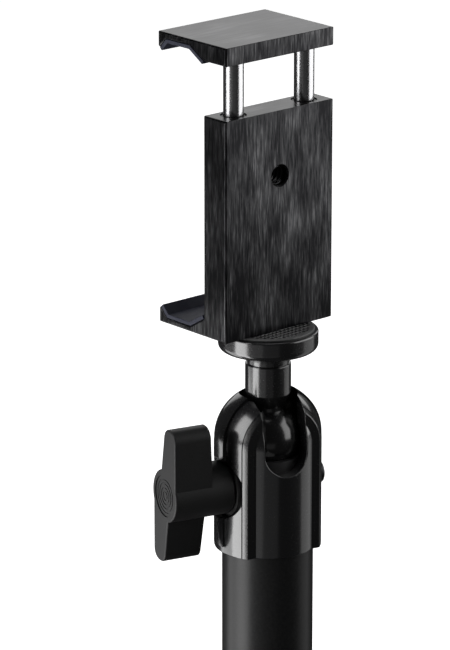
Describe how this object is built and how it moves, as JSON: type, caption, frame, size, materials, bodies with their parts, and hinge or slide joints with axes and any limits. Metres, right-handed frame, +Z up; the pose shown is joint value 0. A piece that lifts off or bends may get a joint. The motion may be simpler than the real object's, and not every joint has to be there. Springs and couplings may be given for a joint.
{
  "type": "phone clamp on ball head",
  "caption": "Sprung two-rod phone clamp on a small ball head with a side drop slot and a T-knob, on the top section of a round stand column.",
  "frame": {"origin": "centre of the stand column's lower end, at the mouth of its threaded socket", "axes": "+Z up along the column; the clamp's rear plate faces -Y and its jaws reach towards +Y; +X along the held phone. The ball head is turned 15.1 degrees clockwise from above, so its knob points to -X and a little +Y."},
  "size_m": [0.0483, 0.0343, 0.235],
  "materials": {
    "brushed_black_aluminium": "brushed, black anodised",
    "navy_rubber": "matt",
    "bright_steel": "polished",
    "gloss_black_metal": "gloss black",
    "black_plastic": "fine texture",
    "black_powder_coat": "satin powder coat",
    "black_rubber": "cross-cut, matt",
    "plain_aluminium": "turned",
    "zinc_steel": "zinc plated",
    "dark_steel": "blackened",
    "black_washer": "smooth",
    "spring_steel": "drawn wire",
    "brass": "turned",
    "acetal": "smooth"
  },
  "bodies": {
    "column": {"column_tube": "black_powder_coat", "end_plug": "plain_aluminium", "top_plug": "plain_aluminium", "housing": "gloss_black_metal", "thrust_washer": "black_washer", "ball_cup": "acetal"},
    "knob": {"t_knob": "black_plastic", "knob_insert": "brass", "knob_cap": "black_plastic"},
    "bar": {"wedge_bar": "dark_steel"},
    "stem": {"ball_stem": "gloss_black_metal", "platform": "gloss_black_metal", "platform_pad": "black_rubber", "clamp_stud": "zinc_steel"},
    "clamp": {"clamp_body": "brushed_black_aluminium", "lower_pad": "navy_rubber", "rod_bush_left": "acetal", "rod_bush_right": "acetal"},
    "jaw": {"upper_jaw": "brushed_black_aluminium", "upper_pad": "navy_rubber", "guide_rod_left": "bright_steel", "guide_rod_right": "bright_steel", "rod_collar_left": "dark_steel", "rod_collar_right": "dark_steel", "rod_spring_left": "spring_steel", "rod_spring_right": "spring_steel"}
  },
  "joints": [
    {"name": "knob_turn", "type": "hinge", "parent": "column", "child": "knob", "pos_m": [0, 0, 0.1175], "axis": [-0.9655, 0.2605, 0], "range_deg": [0, 360]},
    {"name": "bar_slide", "type": "slide", "parent": "column", "child": "bar", "axis": [0.9655, -0.2605, 0], "range_m": [0, 0.0008]},
    {"name": "head_tilt", "type": "hinge", "parent": "column", "child": "stem", "pos_m": [0, 0, 0.1296], "axis": [0.9655, -0.2605, 0], "range_deg": [-8, 90]},
    {"name": "clamp_pan", "type": "hinge", "parent": "stem", "child": "clamp", "pos_m": [0, 0, 0.15879], "axis": [0, 0, 1], "continuous": true},
    {"name": "jaw_slide", "type": "slide", "parent": "clamp", "child": "jaw", "axis": [0, 0, 1], "range_m": [-0.0138, 0.014], "deforming": ["rod_spring_left", "rod_spring_right"]}
  ],
  "couplings": [
    {"joint": "knob_turn", "follows": "bar_slide", "rad_per_m": 7854}
  ]
}
